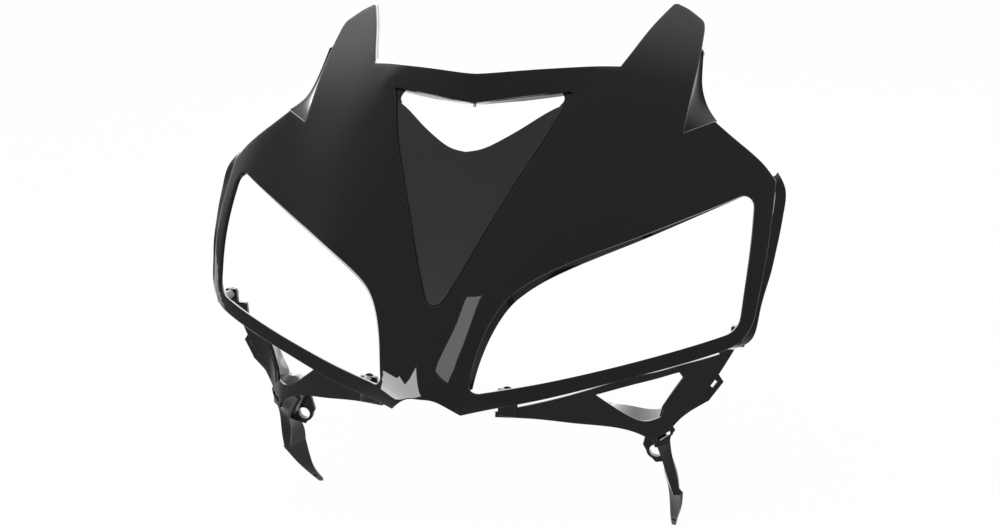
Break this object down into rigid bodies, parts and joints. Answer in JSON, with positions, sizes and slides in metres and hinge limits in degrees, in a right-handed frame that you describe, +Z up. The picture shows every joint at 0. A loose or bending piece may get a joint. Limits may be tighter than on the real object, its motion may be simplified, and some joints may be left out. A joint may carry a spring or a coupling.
{
  "type": "front upper fairing",
  "caption": "Front upper fairing of a sports motorbike: gloss nose cowl with headlight openings, matt V panel and lower arms that bolt to the fairing stay.",
  "frame": {"origin": "middle of the two stay bolt holes, on the front faces of their bosses", "axes": "+X across the bike, to the right of a viewer who faces its front; -Y forward; +Z up"},
  "size_m": [0.46, 0.2952, 0.4],
  "materials": {
    "gloss_black": "gloss",
    "matt_black": "matte",
    "satin_black": "satin",
    "screw_steel": "satin"
  },
  "bodies": {
    "root": {"nose_cowl": "gloss_black", "centre_panel": "matt_black", "left_arm": "satin_black", "right_arm": "satin_black", "panel_screws": "screw_steel", "arm_screws": "screw_steel"}
  },
  "joints": []
}
